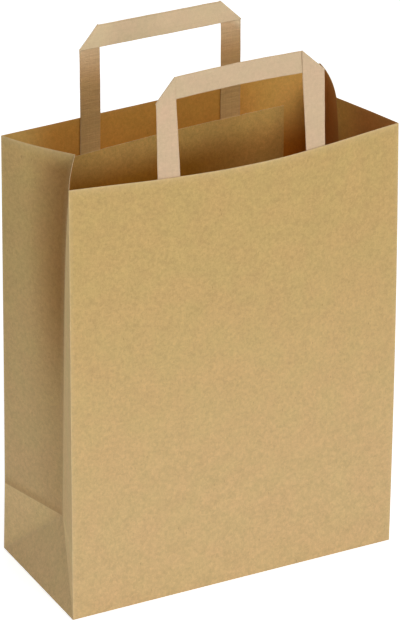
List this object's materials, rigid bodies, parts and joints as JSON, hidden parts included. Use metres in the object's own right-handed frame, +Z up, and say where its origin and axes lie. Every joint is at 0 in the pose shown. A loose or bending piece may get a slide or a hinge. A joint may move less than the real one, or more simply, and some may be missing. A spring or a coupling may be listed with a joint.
{
  "type": "paper carrier bag",
  "caption": "Open block-bottom carrier bag of brown kraft paper with creased side gussets, and flat paper tape handles held inside the panels by glued strips.",
  "frame": {"origin": "middle of the bottom, on the underside of the outer bottom flap", "axes": "+X along the front panel to its right, -Y out of the front panel, +Z up through the mouth"},
  "size_m": [0.2394, 0.1191, 0.3774],
  "materials": {
    "kraft_paper": "matt",
    "handle_tape": "matt",
    "patch_paper": "matt"
  },
  "bodies": {
    "root": {"bag_body": "kraft_paper", "front_handle": "handle_tape", "back_handle": "handle_tape", "front_handle_patch": "patch_paper", "back_handle_patch": "patch_paper"}
  },
  "joints": []
}
